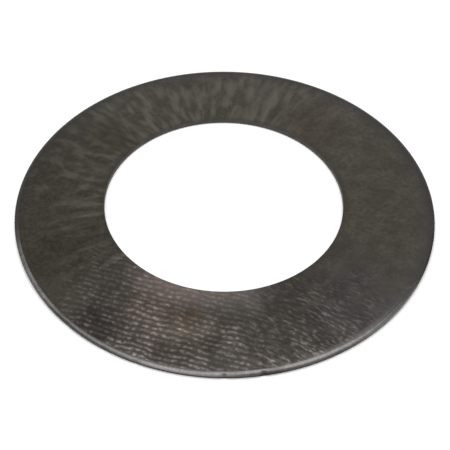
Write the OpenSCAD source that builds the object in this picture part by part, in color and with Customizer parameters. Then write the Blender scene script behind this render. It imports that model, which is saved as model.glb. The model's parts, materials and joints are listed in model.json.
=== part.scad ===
// Shim washer: a thin flat ring blanked out of steel strip.
// It lies on its lower face, centred on the Z axis, with the outer edge's die roll up.
// Both edges are sheared through. Each one has a die roll where the strip bent before it gave way,
// a straight burnished land where the tool cut, and a torn break-out where the strip parted.
// The hole is punched from the other face, so its die roll lies underneath.

/* [Ring] */
// Outside diameter
outer_d = 35; // [24:0.1:60]
// Hole diameter, to pass a 20 mm shaft
hole_d = 20.1; // [6:0.1:30]
// Thickness of the strip
thickness = 0.4; // [0.3:0.05:2]

/* [Outer edge] */
// Width of the die roll on the upper face
outer_roll_w = 0.34; // [0.14:0.01:0.6]
// Depth of the die roll
outer_roll_h = 0.09; // [0.02:0.01:0.12]
// Height of the burnished land below the die roll
outer_land_h = 0.14; // [0.05:0.01:0.2]
// How far the torn edge draws in below the land
outer_break_w = 0.03; // [0.005:0.005:0.08]

/* [Hole edge] */
// Width of the die roll on the lower face
hole_roll_w = 0.22; // [0.14:0.01:0.6]
// Depth of the die roll
hole_roll_h = 0.06; // [0.02:0.01:0.12]
// Height of the burnished land above the die roll
hole_land_h = 0.14; // [0.05:0.01:0.2]
// How far the torn edge opens out above the land
hole_break_w = 0.03; // [0.005:0.005:0.08]

/* [Hidden] */
$fn = 240;

outer_r = outer_d / 2;
hole_r = hole_d / 2;
// Heights at which each burnished land ends and the torn edge begins
outer_tear_z = thickness - outer_roll_h - outer_land_h;
hole_tear_z = hole_roll_h + hole_land_h;

// Radius of the arc that leaves a face smoothly and drops by h over a width w
function roll_r(w, h) = (w * w + h * h) / (2 * h);

// Section of the ring with its torn edges, before the corners are rolled
module sheared_section() {
    polygon([
        [hole_r, 0],
        [outer_r - outer_break_w, 0],
        [outer_r, outer_tear_z],
        [outer_r, thickness],
        [hole_r + hole_break_w, thickness],
        [hole_r, hole_tear_z],
    ]);
}

// Metal that a die roll takes off a corner at the origin, with the face along -X and the edge along -Y
module die_roll(w, h) {
    difference() {
        translate([-w, -h]) square([2 * w, 2 * h]);
        translate([-w, -roll_r(w, h)]) circle(r = roll_r(w, h));
    }
}

// Ring section with both die rolls
module rolled_section() {
    difference() {
        sheared_section();
        translate([outer_r, thickness]) die_roll(outer_roll_w, outer_roll_h);
        translate([hole_r, 0]) rotate(180) die_roll(hole_roll_w, hole_roll_h);
    }
}

module shim_washer() {
    color("dimgray")
    rotate_extrude() rolled_section();
}

shim_washer();
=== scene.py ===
import json
import math
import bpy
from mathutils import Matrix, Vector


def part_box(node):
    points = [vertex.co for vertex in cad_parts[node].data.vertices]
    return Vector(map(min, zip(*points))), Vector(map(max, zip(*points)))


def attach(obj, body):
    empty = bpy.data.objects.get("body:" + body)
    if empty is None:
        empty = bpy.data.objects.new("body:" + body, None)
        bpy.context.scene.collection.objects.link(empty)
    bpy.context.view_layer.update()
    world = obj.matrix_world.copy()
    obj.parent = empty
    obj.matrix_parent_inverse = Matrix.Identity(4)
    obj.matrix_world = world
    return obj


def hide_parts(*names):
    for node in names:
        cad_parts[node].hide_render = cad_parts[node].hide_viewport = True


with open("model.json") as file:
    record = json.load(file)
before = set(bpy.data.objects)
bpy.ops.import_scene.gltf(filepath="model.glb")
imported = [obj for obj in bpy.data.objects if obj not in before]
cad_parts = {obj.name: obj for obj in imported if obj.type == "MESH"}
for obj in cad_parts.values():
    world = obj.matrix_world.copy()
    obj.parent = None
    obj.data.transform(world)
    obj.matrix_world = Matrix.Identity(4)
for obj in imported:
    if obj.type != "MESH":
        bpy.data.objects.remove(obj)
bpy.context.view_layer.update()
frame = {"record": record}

from types import SimpleNamespace

import bpy
from mathutils import Matrix, Vector

# Sizes, in metres
MM = 0.001
NODE = "shim_washer"
ring_low, ring_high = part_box(NODE)
OUTER_R = (ring_high.x - ring_low.x) / 2
THICKNESS = ring_high.z - ring_low.z
BORE = next(mount for mount in frame["record"]["mounts"] if mount["name"] == "bore")
HOLE_R = BORE["dims"]["r_mm"] * MM

# Sheared edges: the die roll's width and depth, the burnished land's height and the break-out's draw
OUTER_ROLL_W = 0.34 * MM
OUTER_ROLL_H = 0.09 * MM
OUTER_LAND_H = 0.14 * MM
OUTER_BREAK_W = 0.03 * MM
HOLE_ROLL_W = 0.22 * MM
HOLE_ROLL_H = 0.06 * MM
HOLE_LAND_H = 0.14 * MM
HOLE_BREAK_W = 0.03 * MM

# Unevenness of the torn edges: depth and size of the grain, and how far the tear line strays up and down
TORN_GRAIN_DEPTH = 0.012 * MM
TORN_GRAIN_SIZE = 0.12 * MM
TEAR_STRAY = 0.025 * MM
TEAR_STRAY_LENGTH = 0.9 * MM

# Small knocks on the outer rim: direction in degrees, width and depth
RIM_NICKS = [
    (268.0, 0.16 * MM, 0.07 * MM),
    (277.2, 0.22 * MM, 0.09 * MM),
    (295.8, 0.24 * MM, 0.03 * MM),
    (247.0, 0.22 * MM, 0.03 * MM),
    (238.2, 0.26 * MM, 0.03 * MM),
    (226.0, 0.26 * MM, 0.03 * MM),
]
# A knock grows from nothing to its full depth between these heights, as shares of the thickness
NICK_RISE = (0.2, 0.7)

# Fineness of the ring's mesh: steps round the ring and across each band of its section
STEPS_AROUND = 1440
UPPER_STEPS = 6
LOWER_STEPS = 4
ROLL_STEPS = 6
LAND_STEPS = 2
TORN_STEPS = 4
# Points nearer than this are one point, and a sharper edge than this is shaded as a corner
WELD_DISTANCE = 0.0005 * MM
CORNER_DEGREES = 35

# Camera: lengths in outer radii and angles in degrees, unless a name says PX or MM
IMAGE_SIDE_PX = 450
SENSOR_MM = 36.0
VIEW_HEIGHT = 47.481
VIEW_DISTANCE = 3.8521
VIEW_ROLL = 1.333
VIEW_FOCAL_PX = 816.38
VIEW_AIM = (-0.1252, -0.1582)
OPTICAL_CENTRE_X_PX = 198.0


def linear(red, green, blue):
    """A colour as the eye's 0 to 255 values, turned to the renderer's linear ones."""
    def one(value):
        value /= 255
        return value / 12.92 if value <= 0.04045 else ((value + 0.055) / 1.055) ** 2.4
    return (one(red), one(green), one(blue), 1.0)


# Node helpers

# Noise keeps to the middle of its range from 0 to 1, and this stretches it to reach from about -1 to 1
NOISE_STRETCH = 4.0


def new_group(name, kind, inputs, outputs):
    """A node group with named sockets. Returns the tree, its input sockets by name and its output node."""
    tree = bpy.data.node_groups.new(name, kind)
    for direction, sockets in (("INPUT", inputs), ("OUTPUT", outputs)):
        for socket_name, socket_kind in sockets:
            tree.interface.new_socket(socket_name, in_out=direction, socket_type="NodeSocket" + socket_kind)
    given = tree.nodes.new("NodeGroupInput").outputs
    out = tree.nodes.new("NodeGroupOutput")
    return tree, given, out


def plug(tree, socket, value):
    """Links a socket to another one, or fills it with a plain value."""
    if isinstance(value, bpy.types.NodeSocket):
        tree.links.new(value, socket)
    else:
        socket.default_value = value


def put(tree, kind, inputs=None, **settings):
    """A new node with its properties set and its inputs filled, by name or by number."""
    node = tree.nodes.new(kind)
    for key, value in settings.items():
        setattr(node, key, value)
    for key, value in (inputs or {}).items():
        plug(tree, node.inputs[key], value)
    return node


def use_group(tree, group, **inputs):
    """A group placed in a tree, with its inputs given by name (an underscore stands for a space)."""
    node = put(tree, tree.bl_idname.replace("Tree", "Group"), node_tree=group)
    for key, value in inputs.items():
        plug(tree, node.inputs[key.replace("_", " ")], value)
    return node.outputs


def calc(tree, operation, *values):
    """The result of a Math node."""
    return put(tree, "ShaderNodeMath", dict(enumerate(values)), operation=operation).outputs[0]


def product(tree, first, *others):
    """Numbers multiplied together."""
    for other in others:
        first = calc(tree, "MULTIPLY", first, other)
    return first


def vector(tree, x=0.0, y=0.0, z=0.0):
    """A vector put together from its X, Y and Z."""
    return put(tree, "ShaderNodeCombineXYZ", {"X": x, "Y": y, "Z": z}).outputs[0]


def parts(tree, value):
    """The X, Y and Z of a vector."""
    return put(tree, "ShaderNodeSeparateXYZ", {0: value}).outputs


def hypotenuse(tree, x, y):
    """The length of a flat step of x and y."""
    return calc(tree, "SQRT", calc(tree, "MULTIPLY_ADD", x, x, product(tree, y, y)))


def from_axis(tree, place):
    """The distance of a place from the ring's axis."""
    x, y, _ = parts(tree, place)
    return hypotenuse(tree, x, y)


def heading(tree, degrees):
    """The cosine and sine of an angle in degrees."""
    turn = calc(tree, "RADIANS", degrees)
    return calc(tree, "COSINE", turn), calc(tree, "SINE", turn)


def ramp(tree, value, low, high):
    """A smooth step from 0 at low to 1 at high."""
    return put(tree, "ShaderNodeMapRange", {"Value": value, "From Min": low, "From Max": high},
               interpolation_type="SMOOTHSTEP").outputs[0]


def between(tree, share, low, high):
    """A number from low to high by a share from 0 to 1."""
    return put(tree, "ShaderNodeMapRange", {"Value": share, "To Min": low, "To Max": high}).outputs[0]


def noise(tree, place, size, detail=2.0):
    """Cloudy noise from about 0.2 to 0.8 whose lumps are of the given size."""
    scale = calc(tree, "DIVIDE", 1.0, size)
    return put(tree, "ShaderNodeTexNoise", {"Vector": place, "Scale": scale, "Detail": detail}).outputs[0]


def stray(tree, place, size, detail):
    """The same noise, reaching from about -1 to 1."""
    return calc(tree, "MULTIPLY_ADD", noise(tree, place, size, detail), NOISE_STRETCH, -NOISE_STRETCH / 2)


# The ring's mesh

def arc_shares(tree, span, depth, to_go):
    """How far across and how far down a step of an arc lies, as shares of its span and its depth.
    The arc starts out flat where nothing is left to go."""
    squares = calc(tree, "MULTIPLY_ADD", span, span, product(tree, depth, depth))
    arc_r = calc(tree, "DIVIDE", squares, product(tree, depth, 2.0))
    sweep = calc(tree, "ARCSINE", calc(tree, "DIVIDE", span, arc_r))
    turned = product(tree, to_go, sweep)
    fallen = calc(tree, "SUBTRACT", 1.0, calc(tree, "COSINE", turned))
    arc_across = product(tree, calc(tree, "SINE", turned), calc(tree, "DIVIDE", arc_r, span))
    arc_drop = product(tree, fallen, calc(tree, "DIVIDE", arc_r, depth))
    return arc_across, arc_drop


def section_band_tree():
    """One band of the ring's section from a start corner to an end corner, swept round the axis clockwise,
    so that its faces look outwards. A corner's X is its radius and its Z its height.
    A rolled band is an arc that ends flush with a face.
    Points carry how torn they are and how near they lie to the tear line."""
    tree, given, out = new_group(
        "Section band", "GeometryNodeTree",
        [("Start Corner", "Vector"), ("End Corner", "Vector"), ("Rolled", "Bool"), ("Steps Across", "Int"),
         ("Steps Around", "Int"), ("Zone", "Int"), ("Torn", "Float"), ("Tear At Start", "Float"),
         ("Tear At End", "Float")],
        [("Band", "Geometry")])
    grid = put(tree, "GeometryNodeMeshGrid", {
        "Size X": 1.0, "Size Y": 1.0,
        "Vertices X": calc(tree, "ADD", given["Steps Across"], 1),
        "Vertices Y": calc(tree, "ADD", given["Steps Around"], 1)})
    across, around, _ = parts(tree, grid.outputs["UV Map"])
    to_go = calc(tree, "SUBTRACT", 1.0, across)
    start = parts(tree, given["Start Corner"])
    end = parts(tree, given["End Corner"])
    width = calc(tree, "SUBTRACT", start["X"], end["X"])
    rise = calc(tree, "SUBTRACT", start["Z"], end["Z"])
    arc_across, arc_drop = arc_shares(
        tree, calc(tree, "ABSOLUTE", width), calc(tree, "ABSOLUTE", rise), to_go)

    def share(arc):
        """What is left of the way from start to end, straight or along the arc."""
        choice = {0: given["Rolled"], 1: to_go, 2: arc}
        return put(tree, "GeometryNodeSwitch", choice, input_type="FLOAT").outputs[0]

    radius = calc(tree, "MULTIPLY_ADD", width, share(arc_across), end["X"])
    height = calc(tree, "MULTIPLY_ADD", rise, share(arc_drop), end["Z"])
    angle = product(tree, around, -2 * math.pi)
    place = vector(tree, product(tree, radius, calc(tree, "COSINE", angle)),
                   product(tree, radius, calc(tree, "SINE", angle)), height)
    long_stroked = put(tree, "GeometryNodeSetPosition", {"Geometry": grid.outputs["Mesh"], "Position": place})
    # This is 1 in the middle of a torn band and 0 at its ends
    torn = product(tree, given["Torn"], across, to_go, 4.0)
    tear_left = product(tree, given["Tear At Start"], to_go)
    tear = calc(tree, "MULTIPLY_ADD", given["Tear At End"], across, tear_left)
    carried = [
        ("zone", given["Zone"], "INT", "FACE"),
        ("torn", torn, "FLOAT", "POINT"),
        ("tear", tear, "FLOAT", "POINT"),
    ]
    shape = long_stroked.outputs[0]
    for name, value, kind, domain in carried:
        stored = put(tree, "GeometryNodeStoreNamedAttribute",
                     {"Geometry": shape, "Name": name, "Value": value}, data_type=kind, domain=domain)
        shape = stored.outputs[0]
    plug(tree, out.inputs["Band"], shape)
    return tree


def rim_nick_tree():
    """How far one small knock pushes a point inwards. It is deepest at its place
    and spares the lower edge."""
    tree, given, out = new_group(
        "Rim nick", "GeometryNodeTree",
        [("Place", "Vector"), ("Width", "Float"), ("Depth", "Float"), ("Thickness", "Float")],
        [("Push", "Float")])
    x, y, z = parts(tree, put(tree, "GeometryNodeInputPosition").outputs[0])
    nick_x, nick_y, _ = parts(tree, given["Place"])
    away = hypotenuse(tree, calc(tree, "SUBTRACT", x, nick_x), calc(tree, "SUBTRACT", y, nick_y))
    widths = calc(tree, "DIVIDE", away, given["Width"])
    dent = calc(tree, "EXPONENT", product(tree, widths, widths, -1.0))
    raised = ramp(tree, calc(tree, "DIVIDE", z, given["Thickness"]), *NICK_RISE)
    plug(tree, out.inputs["Push"], product(tree, given["Depth"], dent, raised))
    return tree


# Sizes that the ring's tree takes
RING_SIZES = {
    "Outer Radius": OUTER_R,
    "Hole Radius": HOLE_R,
    "Thickness": THICKNESS,
    "Outer Roll Width": OUTER_ROLL_W,
    "Outer Roll Depth": OUTER_ROLL_H,
    "Outer Land": OUTER_LAND_H,
    "Outer Break-out": OUTER_BREAK_W,
    "Hole Roll Width": HOLE_ROLL_W,
    "Hole Roll Depth": HOLE_ROLL_H,
    "Hole Land": HOLE_LAND_H,
    "Hole Break-out": HOLE_BREAK_W,
    "Torn Grain Depth": TORN_GRAIN_DEPTH,
    "Torn Grain Size": TORN_GRAIN_SIZE,
    "Tear Stray": TEAR_STRAY,
    "Tear Stray Length": TEAR_STRAY_LENGTH,
}
# Zones of the ring's surface, each with a finish of its own
ZONES = ["upper_face", "lower_face", "die_roll", "burnished_land", "torn_edge"]


def carried_value(tree, name, kind="FLOAT"):
    """A value that the bands stored on the mesh."""
    return put(tree, "GeometryNodeInputNamedAttribute", {"Name": name}, data_type=kind).outputs[0]


def section_corners(tree, given):
    """The eight corners of the ring's section by name, each with its radius as X and its height as Z."""
    outer, hole, top = given["Outer Radius"], given["Hole Radius"], given["Thickness"]
    outer_roll_z = calc(tree, "SUBTRACT", top, given["Outer Roll Depth"])
    corners = {
        "lower_hole": (calc(tree, "ADD", hole, given["Hole Roll Width"]), 0.0),
        "lower_rim": (calc(tree, "SUBTRACT", outer, given["Outer Break-out"]), 0.0),
        "outer_tear": (outer, calc(tree, "SUBTRACT", outer_roll_z, given["Outer Land"])),
        "outer_roll": (outer, outer_roll_z),
        "upper_rim": (calc(tree, "SUBTRACT", outer, given["Outer Roll Width"]), top),
        "upper_hole": (calc(tree, "ADD", hole, given["Hole Break-out"]), top),
        "hole_tear": (hole, calc(tree, "ADD", given["Hole Roll Depth"], given["Hole Land"])),
        "hole_roll": (hole, given["Hole Roll Depth"]),
    }
    return {name: vector(tree, x=radius, z=height) for name, (radius, height) in corners.items()}


def worn_offset(tree, given):
    """How far a point of the plain ring moves for the torn grain, the straying tear line
    and the knocks on the rim."""
    place = put(tree, "GeometryNodeInputPosition").outputs[0]
    x, y, _ = parts(tree, place)
    grain = stray(tree, place, given["Torn Grain Size"], detail=3.0)
    outwards = product(tree, carried_value(tree, "torn"), given["Torn Grain Depth"], grain)
    nick_tree = rim_nick_tree()
    for degrees, width, depth in RIM_NICKS:
        turn = math.radians(degrees)
        nick_place = (OUTER_R * math.cos(turn), OUTER_R * math.sin(turn), 0.0)
        nick = use_group(tree, nick_tree, Place=nick_place, Width=width, Depth=depth,
                         Thickness=given["Thickness"])
        outwards = calc(tree, "SUBTRACT", outwards, nick["Push"])
    waver = stray(tree, place, given["Tear Stray Length"], detail=2.0)
    upwards = product(tree, carried_value(tree, "tear"), given["Tear Stray"], waver)
    share = calc(tree, "DIVIDE", outwards, hypotenuse(tree, x, y))
    return vector(tree, product(tree, x, share), product(tree, y, share), upwards)


def set_finishes(tree, shape, given):
    """The ring with each zone's finish on its faces."""
    zone_at = carried_value(tree, "zone", "INT")
    for number, zone in enumerate(ZONES):
        same = put(tree, "FunctionNodeCompare", {2: zone_at, 3: number}, data_type="INT", operation="EQUAL")
        finish = put(tree, "GeometryNodeSetMaterial",
                     {"Geometry": shape, "Selection": same.outputs[0], "Material": given[zone]})
        shape = finish.outputs[0]
    return shape


def blanked_ring_tree():
    """The whole ring: eight bands round its section, welded and worn, with a finish for each zone."""
    sizes = [(name, "Float") for name in RING_SIZES]
    finishes = [(zone, "Material") for zone in ZONES]
    tree, given, out = new_group(
        "Blanked ring", "GeometryNodeTree",
        sizes + [("Steps Around", "Int")] + finishes,
        [("Ring", "Geometry")])
    corners = section_corners(tree, given)
    bands = [
        ("lower_hole", "lower_rim", "lower_face", LOWER_STEPS),
        ("lower_rim", "outer_tear", "torn_edge", TORN_STEPS),
        ("outer_tear", "outer_roll", "burnished_land", LAND_STEPS),
        ("outer_roll", "upper_rim", "die_roll", ROLL_STEPS),
        ("upper_rim", "upper_hole", "upper_face", UPPER_STEPS),
        ("upper_hole", "hole_tear", "torn_edge", TORN_STEPS),
        ("hole_tear", "hole_roll", "burnished_land", LAND_STEPS),
        ("hole_roll", "lower_hole", "die_roll", ROLL_STEPS),
    ]
    band_tree = section_band_tree()
    joined = put(tree, "GeometryNodeJoinGeometry")
    for start, end, zone, steps in bands:
        band = use_group(tree, band_tree, Start_Corner=corners[start], End_Corner=corners[end],
                         Rolled=zone == "die_roll", Steps_Across=steps, Steps_Around=given["Steps Around"],
                         Zone=ZONES.index(zone), Torn=float(zone == "torn_edge"),
                         Tear_At_Start=float(start.endswith("tear")),
                         Tear_At_End=float(end.endswith("tear")))
        plug(tree, joined.inputs[0], band["Band"])
    welded = put(tree, "GeometryNodeMergeByDistance",
                 {"Geometry": joined.outputs[0], "Distance": WELD_DISTANCE})
    worn = put(tree, "GeometryNodeSetPosition",
               {"Geometry": welded.outputs[0], "Offset": worn_offset(tree, given)})
    solid = put(tree, "GeometryNodeRealizeInstances", {"Geometry": worn.outputs[0]})
    plug(tree, out.inputs["Ring"], set_finishes(tree, solid.outputs[0], given))
    return tree


def build_ring(finishes):
    """The washer as one plain mesh, made by the ring's tree."""
    tree = blanked_ring_tree()
    carrier = bpy.data.objects.new("ring_carrier", bpy.data.meshes.new("ring_carrier"))
    bpy.context.scene.collection.objects.link(carrier)
    modifier = carrier.modifiers.new("ring", "NODES")
    modifier.node_group = tree
    values = {**RING_SIZES, "Steps Around": STEPS_AROUND, **finishes}
    for item in tree.interface.items_tree:
        if item.in_out == "INPUT":
            modifier[item.identifier] = values[item.name]
    evaluated = carrier.evaluated_get(bpy.context.evaluated_depsgraph_get())
    mesh = bpy.data.meshes.new_from_object(evaluated)
    bpy.data.objects.remove(carrier)
    mesh.name = "washer_ring"
    mesh.shade_smooth()
    mesh.set_sharp_from_angle(angle=math.radians(CORNER_DEGREES))
    ring = bpy.data.objects.new("washer_ring", mesh)
    bpy.context.scene.collection.objects.link(ring)
    return ring


# Surface effects, each a shader group, with positions and lengths in millimetres

# Ranges of the noise over which a mask grows from 0 to 1: for soft marks, firmer ones and sparse ones
SOFT_NOISE = (0.3, 0.7)
FIRM_NOISE = (0.32, 0.68)
SPARSE_NOISE = (0.42, 0.74)
# Lumps of noise that make one light streak and the dark gap beside it
LUMPS_PER_STREAK = 1.7
# Lump sizes of the noise that sways the lay's lines, and that makes the edges of sectors and stains ragged
LAY_SWAY_SIZE = 2.4
SECTOR_EDGE_SIZE = 2.2
STAIN_EDGE_SIZE = 0.9
# How ragged a stain's edge is and where the stain fades out, in its own sizes
STAIN_RAGGED = 0.4
STAIN_FADE = (0.3, 1.25)


def ground_lay_group():
    """Fine parallel lines left by grinding the strip, and loose dashes of the same lay.
    The gaps say how far a line fades between its dashes, and the wander how many spacings it strays."""
    tree, given, out = new_group(
        "Ground lay", "ShaderNodeTree",
        [("Position", "Vector"), ("Lay Angle", "Float"), ("Line Spacing", "Float"), ("Dash Length", "Float"),
         ("Dashes Per Row", "Float"), ("Dash Gaps", "Float"), ("Wander", "Float")],
        [("Lines", "Float"), ("Dashes", "Float")])
    x, y, _ = parts(tree, given["Position"])
    cosine, sine = heading(tree, given["Lay Angle"])
    along = calc(tree, "MULTIPLY_ADD", x, cosine, product(tree, y, sine))
    across = calc(tree, "SUBTRACT", product(tree, y, cosine), product(tree, x, sine))
    row = calc(tree, "DIVIDE", across, given["Line Spacing"])
    sway = stray(tree, given["Position"], LAY_SWAY_SIZE, detail=4.0)
    swayed = calc(tree, "MULTIPLY_ADD", sway, given["Wander"], row)
    wave = calc(tree, "COSINE", product(tree, swayed, 2 * math.pi))
    line = calc(tree, "MULTIPLY_ADD", wave, 0.5, 0.5)
    dash_place = vector(tree, calc(tree, "DIVIDE", along, given["Dash Length"]),
                        product(tree, row, given["Dashes Per Row"]))
    dash_noise = noise(tree, dash_place, 1.0, detail=1.0)
    whole = calc(tree, "SUBTRACT", 1.0, given["Dash Gaps"])
    broken = calc(tree, "MULTIPLY_ADD", ramp(tree, dash_noise, *FIRM_NOISE), given["Dash Gaps"], whole)
    plug(tree, out.inputs["Lines"], product(tree, line, broken))
    plug(tree, out.inputs["Dashes"], ramp(tree, dash_noise, *SPARSE_NOISE))
    return tree


def streaks_across_group():
    """Streaks that run from edge to edge across the ring: outwards on a face and up and down on a wall.
    The shift gives each set its own pattern, and a rarity above 1 leaves fewer and thinner streaks."""
    tree, given, out = new_group(
        "Streaks across", "ShaderNodeTree",
        [("Position", "Vector"), ("Streaks Around", "Float"), ("Streak Length", "Float"), ("Shift", "Float"),
         ("Rarity", "Float")],
        [("Streaks", "Float")])
    x, y, z = parts(tree, given["Position"])
    radius = hypotenuse(tree, x, y)
    lumps = product(tree, given["Streaks Around"], LUMPS_PER_STREAK / (2 * math.pi))
    spread = calc(tree, "DIVIDE", lumps, radius)
    along = calc(tree, "DIVIDE", calc(tree, "ADD", radius, z), given["Streak Length"])
    place = vector(tree, product(tree, x, spread), product(tree, y, spread),
                   calc(tree, "ADD", along, given["Shift"]))
    streaks = ramp(tree, noise(tree, place, 1.0, detail=1.0), *SOFT_NOISE)
    plug(tree, out.inputs["Streaks"], calc(tree, "POWER", streaks, given["Rarity"]))
    return tree


def steel_mottle_group():
    """Soft patches and small specks of a stained steel skin."""
    tree, given, out = new_group(
        "Steel mottle", "ShaderNodeTree",
        [("Position", "Vector"), ("Patch Size", "Float"), ("Speck Size", "Float")],
        [("Patch", "Float"), ("Speck", "Float")])
    patches = noise(tree, given["Position"], given["Patch Size"])
    specks = noise(tree, given["Position"], given["Speck Size"])
    plug(tree, out.inputs["Patch"], ramp(tree, patches, *FIRM_NOISE))
    plug(tree, out.inputs["Speck"], ramp(tree, specks, *SOFT_NOISE))
    return tree


def ring_sector_group():
    """A ragged mask over one sector of the ring. All its measures are in degrees."""
    tree, given, out = new_group(
        "Ring sector", "ShaderNodeTree",
        [("Position", "Vector"), ("Direction", "Float"), ("Half Width", "Float"), ("Fade", "Float"),
         ("Ragged", "Float")],
        [("Mask", "Float")])
    x, y, _ = parts(tree, given["Position"])
    cosine, sine = heading(tree, given["Direction"])
    facing = calc(tree, "MULTIPLY_ADD", x, cosine, product(tree, y, sine))
    turned = calc(tree, "ARCCOSINE", calc(tree, "DIVIDE", facing, hypotenuse(tree, x, y)))
    ragged = stray(tree, given["Position"], SECTOR_EDGE_SIZE, detail=3.0)
    away = calc(tree, "MULTIPLY_ADD", ragged, given["Ragged"], calc(tree, "DEGREES", turned))
    inner = calc(tree, "SUBTRACT", given["Half Width"], given["Fade"])
    outer = calc(tree, "ADD", given["Half Width"], given["Fade"])
    plug(tree, out.inputs["Mask"], calc(tree, "SUBTRACT", 1.0, ramp(tree, away, inner, outer)))
    return tree


def soft_stain_group():
    """A ragged round stain about a place on the face."""
    tree, given, out = new_group(
        "Soft stain", "ShaderNodeTree",
        [("Position", "Vector"), ("Direction", "Float"), ("From Axis", "Float"), ("Size", "Float")],
        [("Mask", "Float")])
    x, y, _ = parts(tree, given["Position"])
    cosine, sine = heading(tree, given["Direction"])
    off_x = calc(tree, "SUBTRACT", x, product(tree, cosine, given["From Axis"]))
    off_y = calc(tree, "SUBTRACT", y, product(tree, sine, given["From Axis"]))
    sizes_off = calc(tree, "DIVIDE", hypotenuse(tree, off_x, off_y), given["Size"])
    ragged = stray(tree, given["Position"], STAIN_EDGE_SIZE, detail=3.0)
    edge = calc(tree, "MULTIPLY_ADD", ragged, STAIN_RAGGED, sizes_off)
    plug(tree, out.inputs["Mask"], calc(tree, "SUBTRACT", 1.0, ramp(tree, edge, *STAIN_FADE)))
    return tree


GROUND_LAY = ground_lay_group()
STREAKS_ACROSS = streaks_across_group()
STEEL_MOTTLE = steel_mottle_group()
RING_SECTOR = ring_sector_group()
SOFT_STAIN = soft_stain_group()


# Values of the finishes

# Colours of the steel
DARK_STEEL = linear(48, 45, 40)
GREY_STEEL = linear(72, 69, 63)
# Pale streaks and long pale strokes of painted reflection on the faces
REFLECTION_STREAK_STEEL = linear(88, 85, 77)
LONG_REFLECTION_STEEL = linear(99, 96, 89)
BLUED_STEEL = linear(54, 54, 54)
# Painted shade in the lay's grooves, and painted glints on its lines
LAY_GROOVE_SHADE = linear(40, 37, 35)
ROSY_GLINT = linear(115, 105, 102)
PALE_GLINT = linear(111, 106, 101)
# Worn steel with painted sheen by the hole's front edge
WORN_SHEEN_STEEL = linear(86, 82, 80)
ROLLED = linear(60, 59, 58)
# Painted highlights on the rim: at the front, on the left, on the land and at the front corner
FRONT_RIM_HIGHLIGHT = linear(88, 86, 86)
PALE_HIGHLIGHT = linear(106, 104, 103)
LAND_HIGHLIGHT = linear(74, 72, 71)
CORNER_HIGHLIGHT = linear(128, 125, 124)
LAND_CORNER_HIGHLIGHT = linear(108, 106, 105)
SHEARED = linear(44, 42, 41)
TORN = linear(60, 57, 53)
HOLE_WALL = linear(84, 82, 79)
# How much brighter the hole's front edge is, in red, green and blue, for its wear and its painted sheen
WORN_SHEEN_GAIN = (1.42, 1.39, 1.40, 1.0)

# Sectors of the upper face: direction, half width, fade and raggedness in degrees. A direction of 0 is
# on the right and 90 at the back. They are ground with painted glints, streaked with painted reflection at
# the back, darkened with painted shade on the left, flecked, marked with long strokes of painted reflection,
# worn at the hole's edge and lit by painted sheen there, and bright with a painted highlight next to the rim
GROUND_SECTOR = (265.0, 47.0, 22.0, 12.0)
STREAKED_BACK_SECTOR = (98.0, 46.0, 18.0, 9.0)
# The left sector carries painted shade
SHADED_LEFT_SECTOR = (184.0, 48.0, 25.0, 9.0)
FLECKED_SECTOR = (160.0, 22.0, 10.0, 5.0)
LONG_STROKE_SECTOR = (67.0, 12.0, 6.0, 3.0)
WORN_SHEEN_SECTOR = (256.0, 28.0, 12.0, 5.0)
SPREAD_SECTOR = (303.0, 13.0, 10.0, 4.0)

# The same on the rim: a painted highlight at the front, bright only in a narrow line, dulled by a knock,
# and painted highlights at the front corner, at the front right and on the left
FRONT_RIM_HIGHLIGHT_SECTOR = (271.0, 33.0, 21.0, 3.0)
NARROW_SECTOR = (249.0, 20.0, 8.0, 2.0)
KNOCKED_SECTOR = (279.2, 2.6, 2.0, 0.5)
CORNER_HIGHLIGHT_SECTOR = (258.0, 11.0, 7.0, 2.0)
RIGHT_RIM_HIGHLIGHT_SECTOR = (316.0, 10.0, 8.0, 2.0)
LEFT_RIM_HIGHLIGHT_SECTOR = (206.0, 12.0, 7.0, 2.0)

# Bands by their distance from the axis in millimetres: where a mask starts, and where it is full
RIM = OUTER_R / MM
HOLE = HOLE_R / MM
ROLL = OUTER_ROLL_W / MM
NEAR_RIM = (RIM - 1.7, RIM - 0.3)
NEAR_HOLE = (RIM - 1.0, HOLE + 2.45)
RIM_LINE = (RIM - 0.7, RIM - 0.35)
HOLE_LINE = (HOLE + 0.55, HOLE + 0.1)
LONG_STROKE_BAND = (RIM - 1.1, RIM - 2.9)
PLAIN_BAND = (HOLE + 3.75, HOLE + 1.55)
WORN_SHEEN_BAND = (HOLE + 2.85, HOLE - 0.05)
SPREAD_BAND = (RIM - 0.75, RIM - 0.25)
ROLL_CORNER = (RIM - 0.5 * ROLL, RIM)
NARROW_LINE = (RIM - 0.8 * ROLL, RIM - 0.4 * ROLL)

# The same along X: the lay's straight end on the left, and where its lines give way to dashes
LAY_END = (-13.6, -11.2)
LAY_BREAKS_UP = (-3.0, 6.0)

# Grinding lays, in degrees and millimetres: the lines at the front, the loose dashes to their right
# and the lines underneath
GROUND_LINES = dict(Lay_Angle=-19.5, Line_Spacing=0.45, Dash_Length=0.42, Dashes_Per_Row=1.0,
                    Dash_Gaps=0.9, Wander=0.5)
LOOSE_DASHES = dict(Lay_Angle=-35.0, Line_Spacing=0.33, Dash_Length=0.6, Dashes_Per_Row=1.5,
                    Dash_Gaps=1.0, Wander=0.0)
UNDERSIDE_LINES = dict(Lay_Angle=-19.5, Line_Spacing=0.45, Dash_Length=1.4, Dashes_Per_Row=1.5,
                       Dash_Gaps=0.7, Wander=0.125)

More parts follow.
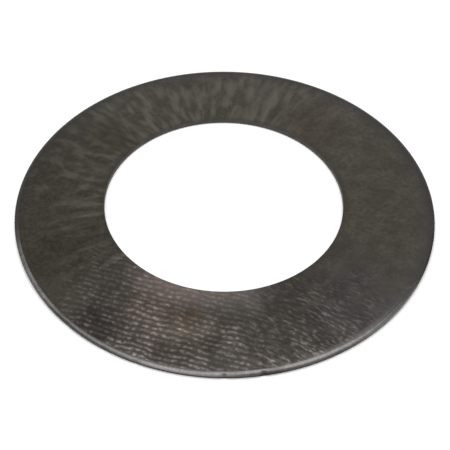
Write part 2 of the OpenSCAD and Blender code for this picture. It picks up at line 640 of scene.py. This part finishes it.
# Sets of streaks, with lengths in millimetres: four on the upper face, then those underneath,
# on the die roll and on the land
FACE_STREAKS = dict(Streaks_Around=76.0, Streak_Length=1.9, Shift=0.0, Rarity=1.5)
FACE_RAYS = dict(Streaks_Around=32.0, Streak_Length=5.0, Shift=7.0, Rarity=1.0)
FACE_STROKES = dict(Streaks_Around=64.0, Streak_Length=4.0, Shift=11.0, Rarity=2.0)
FACE_FLECKS = dict(Streaks_Around=56.0, Streak_Length=1.3, Shift=19.0, Rarity=4.0)
UNDERSIDE_STREAKS = dict(Streaks_Around=62.0, Streak_Length=3.4, Shift=3.0, Rarity=1.0)
ROLL_STREAKS = dict(Streaks_Around=260.0, Streak_Length=0.8, Shift=0.0, Rarity=1.0)
LAND_STREAKS = dict(Streaks_Around=520.0, Streak_Length=0.5, Shift=0.0, Rarity=1.0)

# Stains and spots on the upper face: direction in degrees, distance from the axis and size
# in millimetres, and what they multiply red, green and blue by. The paler spots from 241 to 260 degrees are
# painted sheen at the front, and the darker ones at 312 and 335 degrees are painted shade at the front
# right; the rest are stains
STAINS_SHEEN_AND_SHADE = [
    (140.0, 12.4, 2.4, (0.80, 0.79, 0.71)),
    (205.0, 15.0, 2.6, (0.80, 0.78, 0.76)),
    (208.0, 11.8, 2.2, (0.84, 0.82, 0.82)),
    (192.0, 13.0, 2.4, (0.92, 0.92, 0.92)),
    (28.0, 13.2, 4.6, (1.08, 1.07, 1.07)),
    (335.0, 12.6, 4.6, (0.92, 0.92, 0.93)),
    (48.0, 12.6, 3.4, (1.00, 0.92, 0.90)),
    (42.0, 16.2, 1.8, (1.22, 1.20, 1.24)),
    (312.0, 14.2, 4.2, (0.91, 0.93, 1.02)),
    (298.0, 16.0, 2.6, (0.91, 0.91, 0.93)),
    (246.0, 12.2, 3.2, (1.26, 1.17, 1.17)),
    (241.5, 14.0, 2.4, (1.11, 1.10, 1.10)),
    (241.0, 16.2, 1.8, (0.92, 0.92, 0.93)),
    (253.0, 14.4, 1.4, (1.55, 1.55, 1.50)),
    (259.5, 13.8, 1.5, (1.32, 1.32, 1.30)),
    (257.0, 12.9, 1.1, (0.92, 0.88, 0.78)),
    (233.5, 16.4, 2.2, (0.62, 0.60, 0.62)),
    (254.0, 15.8, 1.8, (0.78, 0.76, 0.76)),
    (264.0, 14.9, 0.9, (0.70, 0.67, 0.67)),
]


# What the finishes share

def metal(name):
    """A new metal material: its tree, its shader and the position on the part in millimetres."""
    material = bpy.data.materials.new(name)
    material.use_nodes = True
    tree = material.node_tree
    shader = tree.nodes["Principled BSDF"]
    shader.inputs["Metallic"].default_value = 1.0
    here = put(tree, "ShaderNodeTexCoord").outputs["Object"]
    position = put(tree, "ShaderNodeVectorMath", {0: here, "Scale": 1 / MM}, operation="SCALE").outputs[0]
    return material, tree, shader, position


def tint(tree, share, under, over, blend="MIX"):
    """One colour laid over another by a share from 0 to 1."""
    mix = put(tree, "ShaderNodeMix", {0: share, 6: under, 7: over}, data_type="RGBA", blend_type=blend)
    return mix.outputs[2]


def mottle(tree, position, patch_size, speck_size):
    """Masks of soft patches and of small specks."""
    masks = use_group(tree, STEEL_MOTTLE, Position=position, Patch_Size=patch_size, Speck_Size=speck_size)
    return masks["Patch"], masks["Speck"]


def streaked(tree, position, streaks):
    """A mask of one set of streaks."""
    return use_group(tree, STREAKS_ACROSS, Position=position, **streaks)["Streaks"]


def sector(tree, position, place):
    """A mask of one sector."""
    direction, half_width, fade, ragged = place
    return use_group(tree, RING_SECTOR, Position=position, Direction=direction, Half_Width=half_width,
                     Fade=fade, Ragged=ragged)["Mask"]


def dress(tree, shader, colour, roughness, height, depth_mm):
    """Gives a shader its colour, its roughness and fine relief of the given depth."""
    bump = put(tree, "ShaderNodeBump", {"Strength": 1.0, "Distance": depth_mm * MM, "Height": height})
    plug(tree, shader.inputs["Base Color"], colour)
    plug(tree, shader.inputs["Roughness"], roughness)
    plug(tree, shader.inputs["Normal"], bump.outputs[0])


# Upper face

def face_masks(tree, position):
    """The place on the upper face, and masks that several of its marks share."""
    x, y, _ = parts(tree, position)
    radius = hypotenuse(tree, x, y)
    patch, speck = mottle(tree, position, patch_size=1.3, speck_size=0.3)
    return SimpleNamespace(
        position=position, x=x, radius=radius, patch=patch, speck=speck,
        rays=streaked(tree, position, FACE_RAYS),
        shaded_left=sector(tree, position, SHADED_LEFT_SECTOR),
        near_rim=ramp(tree, radius, *NEAR_RIM),
        near_hole=ramp(tree, radius, *NEAR_HOLE))


def plain_skin(tree, face):
    """Grey patches and dark specks, bluer towards the rim and darker with painted shade in the left sector.
    """
    grey_patches = between(tree, face.patch, 0.55, 1.0)
    dark_specks = product(tree, face.speck, 0.65)
    blued = product(tree, face.near_rim, 0.5)
    grey_specks = product(tree, face.shaded_left, face.speck, 0.2)
    colour = tint(tree, grey_patches, DARK_STEEL, GREY_STEEL)
    colour = tint(tree, dark_specks, colour, DARK_STEEL)
    colour = tint(tree, blued, colour, BLUED_STEEL)
    # Painted shade over the left sector
    colour = tint(tree, face.shaded_left, colour, DARK_STEEL)
    return tint(tree, grey_specks, colour, GREY_STEEL)


def left_reflection_strokes(tree, face, strokes, colour):
    """Thin pale strokes of painted reflection from the hole outwards along the rays of the left sector, and
    flecks of painted reflection where it meets the streaked back one."""
    flecked = sector(tree, face.position, FLECKED_SECTOR)
    along_rays = between(tree, face.rays, 0.12, 0.7)
    clear_of_flecks = between(tree, flecked, 1.0, 0.45)
    stroked = product(tree, strokes, face.shaded_left, face.near_hole, along_rays, clear_of_flecks)
    # Pale strokes of painted reflection
    colour = tint(tree, stroked, colour, REFLECTION_STREAK_STEEL)
    paler_inwards = between(tree, face.near_hole, 0.22, 0.42)
    flecks = product(tree, streaked(tree, face.position, FACE_FLECKS), flecked, paler_inwards)
    return tint(tree, flecks, colour, REFLECTION_STREAK_STEEL)


def back_reflection_streaks(tree, face, strokes, colour):
    """Pale streaks of painted reflection across the back sector, which fade towards the rim and give way to
    long pale strokes of painted reflection in the long-stroke sector."""
    reflection_streaked = sector(tree, face.position, STREAKED_BACK_SECTOR)
    long_stroked = product(tree, sector(tree, face.position, LONG_STROKE_SECTOR), ramp(tree, face.radius, *LONG_STROKE_BAND))
    little_on_shaded_left = product(tree, face.shaded_left, face.near_hole, 0.12)
    reflection_share = between(tree, calc(tree, "MAXIMUM", reflection_streaked, little_on_shaded_left), 0.06, 0.72)
    clear_of_rim = between(tree, face.near_rim, 1.0, 0.4)
    clear_of_strokes = between(tree, long_stroked, 1.0, 0.3)
    streaks = product(tree, streaked(tree, face.position, FACE_STREAKS), reflection_share, clear_of_rim,
                      clear_of_strokes)
    long_strokes = product(tree, strokes, long_stroked, 0.5)
    # Streaks and long strokes of painted reflection
    colour = tint(tree, streaks, colour, REFLECTION_STREAK_STEEL)
    return tint(tree, long_strokes, colour, LONG_REFLECTION_STEEL)


def dark_edge_lines(tree, face, colour):
    """A thin darker line along the hole and along the rim."""
    by_hole = ramp(tree, face.radius, *HOLE_LINE)
    by_rim = ramp(tree, face.radius, *RIM_LINE)
    darkened = product(tree, calc(tree, "MAXIMUM", by_hole, by_rim), 0.35)
    return tint(tree, darkened, colour, DARK_STEEL)


def ground_marks(tree, face, colour):
    """The ground sector: grooves darkened with painted shade and pale lines of painted glint between them,
    which break up into loose dashes on the right. Returns the colour, a mask of the painted glints and the
    height of the lay."""
    broken = ramp(tree, face.x, *LAY_BREAKS_UP)
    lines = use_group(tree, GROUND_LAY, Position=face.position, **GROUND_LINES)["Lines"]
    dashes = use_group(tree, GROUND_LAY, Position=face.position, **LOOSE_DASHES)["Dashes"]
    dashed_share = product(tree, broken, 0.85)
    lay_marks = between(tree, dashed_share, lines, dashes)
    ground = product(tree, sector(tree, face.position, GROUND_SECTOR), ramp(tree, face.x, *LAY_END))
    lay_height = product(tree, lay_marks, ground)

    shallow_on_rays = between(tree, face.rays, 0.9, 0.65)
    deep_on_right = between(tree, broken, 0.9, 1.0)
    grooves = product(tree, ground, shallow_on_rays, deep_on_right)
    # Painted shade in the grooves
    colour = tint(tree, grooves, colour, LAY_GROOVE_SHADE)

    plain = product(tree, broken, ramp(tree, face.radius, *PLAIN_BAND))
    pale_on_rays = between(tree, face.rays, 0.45, 1.0)
    pale_on_specks = between(tree, face.speck, 0.28, 1.2)
    pale_on_patches = between(tree, face.patch, 0.6, 1.05)
    faint_where_plain = between(tree, plain, 1.0, 0.5)
    faint_by_hole = between(tree, face.near_hole, 1.1, 0.85)
    lit = product(tree, lay_height, pale_on_rays, pale_on_specks, pale_on_patches, faint_where_plain,
                  faint_by_hole)
    # Painted glints on the lay's lines, rosy in places
    rosy = product(tree, face.patch, between(tree, broken, 1.0, 0.2))
    glint_colour = tint(tree, rosy, PALE_GLINT, ROSY_GLINT)
    return tint(tree, lit, colour, glint_colour), lit, lay_height


def worn_edges_and_sheen(tree, face, colour):
    """The hole's edge at the front, worn and brightened with painted sheen, and the rim's painted highlight
    spread inwards at the front right.
    """
    worn = product(tree, sector(tree, face.position, WORN_SHEEN_SECTOR), ramp(tree, face.radius, *WORN_SHEEN_BAND))
    bared = product(tree, worn, 0.35)
    by_rim = ramp(tree, face.radius, *SPREAD_BAND)
    spread = product(tree, sector(tree, face.position, SPREAD_SECTOR), by_rim, 0.42)
    # Wear and painted sheen by the hole's front edge
    colour = tint(tree, bared, colour, WORN_SHEEN_STEEL)
    colour = tint(tree, worn, colour, WORN_SHEEN_GAIN, "MULTIPLY")
    # The rim's painted highlight spread inwards at the front right
    return tint(tree, spread, colour, PALE_HIGHLIGHT)


def stained(tree, position, colour):
    """The colour with every stain and spot over it, paler spots of painted sheen and darker ones of painted
    shade among them.
    """
    for direction, distance, size, gains in STAINS_SHEEN_AND_SHADE:
        mask = use_group(tree, SOFT_STAIN, Position=position, Direction=direction, From_Axis=distance,
                         Size=size)["Mask"]
        colour = tint(tree, mask, colour, (*gains, 1.0), "MULTIPLY")
    return colour


def upper_face():
    """The face seen in use: ground lines with painted glints and painted sheen at the front, streaks of
    painted reflection at the back, painted shade on the left and plain on the right. The pale marks of the
    lay are smoother than the rest."""
    material, tree, shader, position = metal("upper_face")
    face = face_masks(tree, position)
    strokes = streaked(tree, position, FACE_STROKES)
    colour = plain_skin(tree, face)
    colour = left_reflection_strokes(tree, face, strokes, colour)
    colour = back_reflection_streaks(tree, face, strokes, colour)
    colour = dark_edge_lines(tree, face, colour)
    colour, lit, lay_height = ground_marks(tree, face, colour)
    colour = worn_edges_and_sheen(tree, face, colour)
    colour = stained(tree, position, colour)
    smoothed = product(tree, lit, 0.06)
    speck_height = product(tree, face.speck, 0.3)
    roughness = calc(tree, "SUBTRACT", between(tree, face.speck, 0.32, 0.4), smoothed)
    height = calc(tree, "ADD", speck_height, lay_height)
    dress(tree, shader, colour, roughness, height, depth_mm=0.003)
    return material


# Lower face and edges

def lower_face():
    """The face underneath, ground all over, with pale streaks of painted reflection and faint painted glints
    on its lines.
    """
    material, tree, shader, position = metal("lower_face")
    patch, speck = mottle(tree, position, patch_size=3.6, speck_size=0.35)
    lines = use_group(tree, GROUND_LAY, Position=position, **UNDERSIDE_LINES)["Lines"]
    reflection_streaked = product(tree, streaked(tree, position, UNDERSIDE_STREAKS), 0.4)
    faint_lines = product(tree, lines, 0.25)
    colour = tint(tree, patch, DARK_STEEL, GREY_STEEL)
    # Pale streaks of painted reflection, and faint painted glints on the lay's lines
    colour = tint(tree, reflection_streaked, colour, REFLECTION_STREAK_STEEL)
    colour = tint(tree, faint_lines, colour, PALE_GLINT)
    roughness = between(tree, speck, 0.36, 0.46)
    dress(tree, shader, colour, roughness, lines, depth_mm=0.003)
    return material


def rim_highlight_masks(tree, position):
    """Masks that the rim's die roll and land share: the painted highlight at the front, the knock that dulls
    it, and the painted highlights at the front corner and at the front right.
    """
    places = (FRONT_RIM_HIGHLIGHT_SECTOR, KNOCKED_SECTOR, CORNER_HIGHLIGHT_SECTOR, RIGHT_RIM_HIGHLIGHT_SECTOR)
    return [sector(tree, position, place) for place in places]


def die_roll():
    """The rolled corners, with painted highlights at the front and on the left. The rim's is dark along
    its outer edge, which carries painted highlights in places."""
    material, tree, shader, position = metal("die_roll")
    patch, speck = mottle(tree, position, patch_size=1.2, speck_size=0.2)
    front_highlight, knocked, corner_highlight, right_highlight = rim_highlight_masks(tree, position)
    narrow = sector(tree, position, NARROW_SECTOR)
    left_highlight = sector(tree, position, LEFT_RIM_HIGHLIGHT_SECTOR)
    radius = from_axis(tree, position)
    at_corner = ramp(tree, radius, *ROLL_CORNER)
    outer_line = ramp(tree, radius, *NARROW_LINE)

    less_on_streaks = between(tree, streaked(tree, position, ROLL_STREAKS), 1.0, 0.7)
    more_on_patches = between(tree, patch, 0.7, 1.0)
    uneven = product(tree, less_on_streaks, more_on_patches)
    narrowed = between(tree, narrow, 1.0, outer_line)
    dulled = between(tree, knocked, 1.0, 0.5)
    dark_corner = product(tree, at_corner, 0.8)
    bright_corner = product(tree, at_corner, calc(tree, "MAXIMUM", corner_highlight, product(tree, right_highlight, 0.6)))

    colour = tint(tree, between(tree, patch, 0.6, 1.0), DARK_STEEL, ROLLED)
    colour = tint(tree, dark_corner, colour, SHEARED)
    # Painted highlights at the front, on the left and at the front corner
    colour = tint(tree, product(tree, front_highlight, narrowed, dulled, uneven), colour, FRONT_RIM_HIGHLIGHT)
    colour = tint(tree, product(tree, left_highlight, uneven), colour, PALE_HIGHLIGHT)
    colour = tint(tree, bright_corner, colour, CORNER_HIGHLIGHT)
    roughness = between(tree, speck, 0.24, 0.32)
    dress(tree, shader, colour, roughness, speck, depth_mm=0.001)
    return material


def wall_tone(tree, position):
    """The colour of a sheared wall, dark on the rim and lighter in the hole, and a mask of the rim."""
    on_rim = ramp(tree, from_axis(tree, position), HOLE, RIM)
    return tint(tree, on_rim, HOLE_WALL, SHEARED), on_rim


def burnished_land():
    """The band that the tool cut clean, with fine streaks along the cut and painted highlights at the rim's
    front.
    """
    material, tree, shader, position = metal("burnished_land")
    patch, speck = mottle(tree, position, patch_size=1.6, speck_size=0.15)
    streaks = streaked(tree, position, LAND_STREAKS)
    front_highlight, knocked, corner_highlight, right_highlight = rim_highlight_masks(tree, position)
    wall, on_rim = wall_tone(tree, position)
    dark_streaks = product(tree, streaks, 0.5)
    torn_patches = product(tree, patch, 0.3)
    clear_of_knock = between(tree, knocked, 1.0, 0.0)
    brightened = calc(tree, "MAXIMUM", corner_highlight, right_highlight)
    colour = tint(tree, dark_streaks, wall, DARK_STEEL)
    colour = tint(tree, torn_patches, colour, TORN)
    # Painted highlights on the rim's land
    colour = tint(tree, product(tree, front_highlight, on_rim, clear_of_knock), colour, LAND_HIGHLIGHT)
    colour = tint(tree, product(tree, brightened, on_rim), colour, LAND_CORNER_HIGHLIGHT)
    roughness = between(tree, speck, 0.3, 0.42)
    dress(tree, shader, colour, roughness, streaks, depth_mm=0.002)
    return material


def torn_edge():
    """The band that parted, grainy and dull."""
    material, tree, shader, position = metal("torn_edge")
    patch, speck = mottle(tree, position, patch_size=1.0, speck_size=0.1)
    wall, _ = wall_tone(tree, position)
    torn_patches = product(tree, patch, 0.6)
    grey_specks = product(tree, speck, 0.3)
    colour = tint(tree, torn_patches, wall, TORN)
    colour = tint(tree, grey_specks, colour, GREY_STEEL)
    roughness = between(tree, speck, 0.5, 0.65)
    dress(tree, shader, colour, roughness, speck, depth_mm=0.006)
    return material


finishes = {
    "upper_face": upper_face(),
    "lower_face": lower_face(),
    "die_roll": die_roll(),
    "burnished_land": burnished_land(),
    "torn_edge": torn_edge(),
}
ring = build_ring(finishes)
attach(ring, "root")
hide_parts(NODE)


# Stage, light and camera

# The floor's radius, the number of its sides, how far it lies below the washer, and its colour
FLOOR_R = 1.2
FLOOR_SIDES = 128
FLOOR_DROP = 0.005 * MM
FLOOR_COLOUR = (0.95, 0.95, 0.95, 1.0)
# The floor's whiteness grows between these distances from the axis, in outer radii
WHITENESS_GROWS = (1.2, 12.0)
WHITE = (1.0, 1.0, 1.0, 1.0)
CLIP_RANGE = (0.001, 10.0)


def seen_share(tree):
    """1 where the eye sees a surface, straight or in gloss or glass, and 0 where it only lights others."""
    path = put(tree, "ShaderNodeLightPath").outputs
    seen = calc(tree, "ADD", path["Is Camera Ray"], path["Is Glossy Ray"])
    return put(tree, "ShaderNodeMath", {0: seen, 1: path["Is Transmission Ray"]}, operation="ADD",
               use_clamp=True).outputs[0]


def pale_floor(whiteness, far_whiteness):
    """A wide matt floor just under the washer. The whiteness is a little light that only the eye sees,
    and it grows with the distance from the washer, where the lamp reaches less."""
    bpy.ops.mesh.primitive_circle_add(vertices=FLOOR_SIDES, radius=FLOOR_R, fill_type="NGON",
                                      location=(0, 0, -FLOOR_DROP))
    floor = bpy.context.object
    floor.name = "floor"
    material = bpy.data.materials.new("floor")
    material.use_nodes = True
    tree = material.node_tree
    shader = tree.nodes["Principled BSDF"]
    shader.inputs["Base Color"].default_value = FLOOR_COLOUR
    shader.inputs["Roughness"].default_value = 1.0
    shader.inputs["Specular IOR Level"].default_value = 0.0
    shader.inputs["Emission Color"].default_value = WHITE
    near, far = WHITENESS_GROWS
    distance = from_axis(tree, put(tree, "ShaderNodeTexCoord").outputs["Object"])
    far_share = ramp(tree, distance, near * OUTER_R, far * OUTER_R)
    glow = between(tree, far_share, whiteness, far_whiteness)
    plug(tree, shader.inputs["Emission Strength"], product(tree, seen_share(tree), glow))
    floor.data.materials.append(material)


def softbox(name, place, aim, width, depth, radiance):
    """A rectangular lamp that looks at a place."""
    lamp = bpy.data.lights.new(name, "AREA")
    lamp.shape = "RECTANGLE"
    lamp.size = width
    lamp.size_y = depth
    lamp.energy = radiance * math.pi * width * depth
    box = bpy.data.objects.new(name, lamp)
    box.location = place
    box.rotation_euler = (Vector(aim) - Vector(place)).to_track_quat("-Z", "Y").to_euler()
    bpy.context.scene.collection.objects.link(box)


def white_surround(strength_on_matt):
    """A white room whose walls look fully white but light matt surfaces with less."""
    world = bpy.data.worlds.new("surround")
    bpy.context.scene.world = world
    world.use_nodes = True
    tree = world.node_tree
    sky = tree.nodes["Background"]
    sky.inputs["Color"].default_value = WHITE
    plug(tree, sky.inputs["Strength"], between(tree, seen_share(tree), strength_on_matt, 1.0))


def aim_camera():
    """The camera at the photograph's place, turn and lens."""
    height = math.radians(VIEW_HEIGHT)
    roll = math.radians(VIEW_ROLL)
    aim = Vector((*VIEW_AIM, 0)) * OUTER_R
    back = Vector((0, -math.cos(height), math.sin(height)))
    right = Vector((1, 0, 0))
    up = back.cross(right)
    turn = Matrix((right, up, back)).transposed() @ Matrix.Rotation(-roll, 3, "Z")
    lens = bpy.data.cameras.new("camera")
    lens.sensor_width = SENSOR_MM
    lens.lens = VIEW_FOCAL_PX / IMAGE_SIDE_PX * SENSOR_MM
    lens.shift_x = (IMAGE_SIDE_PX / 2 - OPTICAL_CENTRE_X_PX) / IMAGE_SIDE_PX
    lens.clip_start, lens.clip_end = CLIP_RANGE
    camera = bpy.data.objects.new("camera", lens)
    camera.matrix_world = Matrix.Translation(aim + back * VIEW_DISTANCE * OUTER_R) @ turn.to_4x4()
    bpy.context.scene.collection.objects.link(camera)
    bpy.context.scene.camera = camera


pale_floor(whiteness=0.1, far_whiteness=0.8)
softbox("overhead", place=(0.0, 0.02, 0.2), aim=(0, 0, 0), width=0.27, depth=0.13, radiance=4.0)
white_surround(strength_on_matt=0.26)
aim_camera()
bpy.context.scene.view_settings.view_transform = "Standard"
